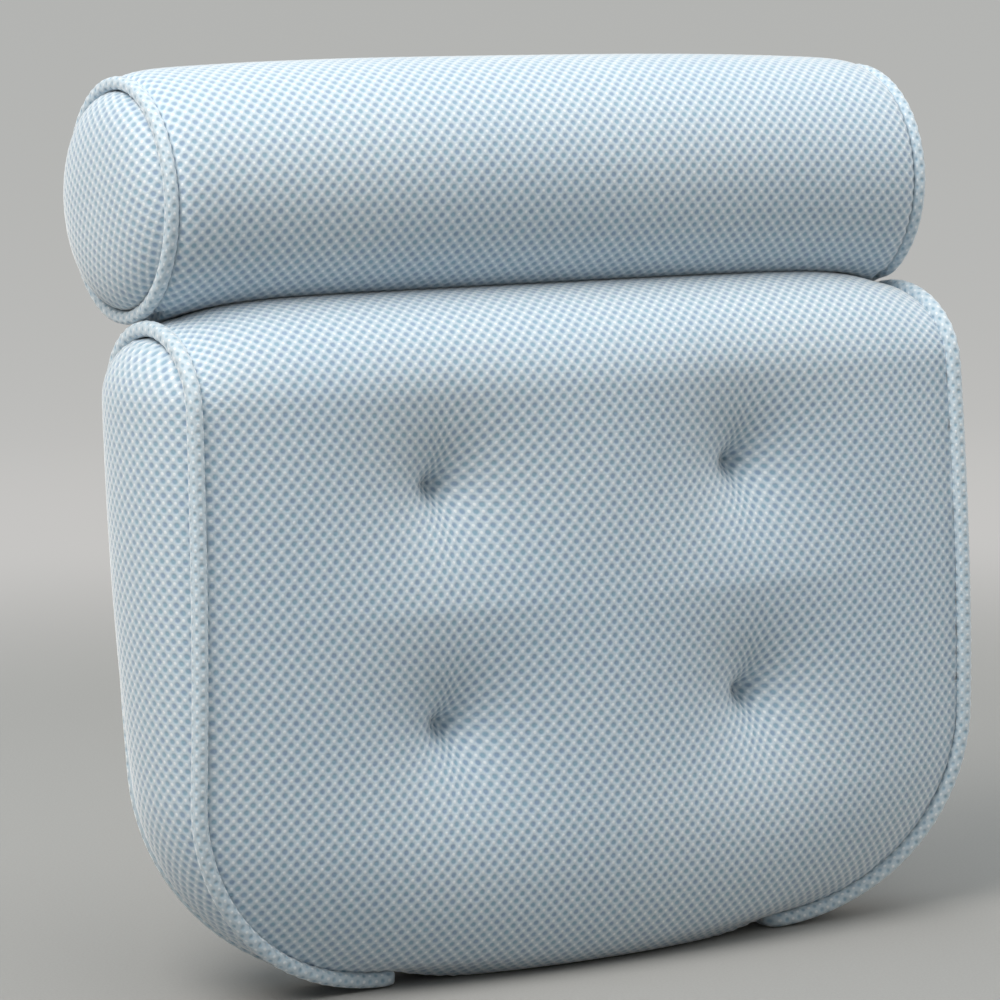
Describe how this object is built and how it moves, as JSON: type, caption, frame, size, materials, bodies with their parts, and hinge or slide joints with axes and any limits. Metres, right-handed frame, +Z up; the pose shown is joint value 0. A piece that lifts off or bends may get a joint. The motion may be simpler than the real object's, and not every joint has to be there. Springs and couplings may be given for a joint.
{
  "type": "bath pillow",
  "caption": "Padded air-mesh bath pillow: a thick tufted back cushion with piped leaf-shaped sides, and a neck roll that folds back on a sewn strip, held by suction cups.",
  "frame": {"origin": "on the ground, below the middle of the pillow's whole width and depth", "axes": "+X to the right seen from the front, +Y from the front to the back where the suction cups are, +Z up"},
  "size_m": [0.3734, 0.1588, 0.3725],
  "materials": {
    "air_mesh": "matte",
    "edge_cord": "matte",
    "fibre_fill": "matte",
    "thread": "satin",
    "patch_cloth": "matte",
    "cup_plastic": "gloss"
  },
  "bodies": {
    "back_cushion": {"cushion_cover": "air_mesh", "cushion_fill": "fibre_fill", "side_panel_left": "air_mesh", "side_panel_right": "air_mesh", "cushion_piping_left": "edge_cord", "cushion_piping_right": "edge_cord", "tuft_tie_lower_left": "thread", "tuft_tie_lower_right": "thread", "tuft_tie_upper_left": "thread", "tuft_tie_upper_right": "thread", "cushion_cup_patch_lower_left": "patch_cloth", "cushion_cup_patch_lower_right": "patch_cloth", "cushion_cup_patch_upper_left": "patch_cloth", "cushion_cup_patch_upper_right": "patch_cloth", "fold_strip": "air_mesh"},
    "neck_roll": {"roll_cover": "air_mesh", "roll_fill": "fibre_fill", "roll_end_panel_left": "air_mesh", "roll_end_panel_right": "air_mesh", "roll_piping_left": "edge_cord", "roll_piping_right": "edge_cord", "roll_cup_patch_left": "patch_cloth", "roll_cup_patch_right": "patch_cloth"},
    "lower_left_cup": {"cushion_cup_lower_left": "cup_plastic"},
    "lower_right_cup": {"cushion_cup_lower_right": "cup_plastic"},
    "upper_left_cup": {"cushion_cup_upper_left": "cup_plastic"},
    "upper_right_cup": {"cushion_cup_upper_right": "cup_plastic"},
    "roll_left_cup": {"roll_cup_left": "cup_plastic"},
    "roll_right_cup": {"roll_cup_right": "cup_plastic"}
  },
  "joints": [
    {"name": "roll_fold", "type": "hinge", "parent": "back_cushion", "child": "neck_roll", "pos_m": [0, 0.03299, 0.27428], "axis": [-1, 0, 0], "range_deg": [0, 95]},
    {"name": "lower_left_cup_turn", "type": "hinge", "parent": "back_cushion", "child": "lower_left_cup", "pos_m": [-0.098, 0.00456, 0.08], "axis": [0.0118, 0.9996, -0.0275], "continuous": true},
    {"name": "lower_right_cup_turn", "type": "hinge", "parent": "back_cushion", "child": "lower_right_cup", "pos_m": [0.098, 0.00456, 0.08], "axis": [-0.0118, 0.9996, -0.0275], "continuous": true},
    {"name": "upper_left_cup_turn", "type": "hinge", "parent": "back_cushion", "child": "upper_left_cup", "pos_m": [-0.131, 0.01595, 0.2], "axis": [-0.0026, 0.9964, -0.0849], "continuous": true},
    {"name": "upper_right_cup_turn", "type": "hinge", "parent": "back_cushion", "child": "upper_right_cup", "pos_m": [0.131, 0.01595, 0.2], "axis": [0.0026, 0.9964, -0.0849], "continuous": true},
    {"name": "roll_left_cup_turn", "type": "hinge", "parent": "neck_roll", "child": "roll_left_cup", "pos_m": [-0.105, 0.06243, 0.3215], "axis": [0, 1, 0], "continuous": true},
    {"name": "roll_right_cup_turn", "type": "hinge", "parent": "neck_roll", "child": "roll_right_cup", "pos_m": [0.105, 0.06243, 0.3215], "axis": [0, 1, 0], "continuous": true}
  ]
}
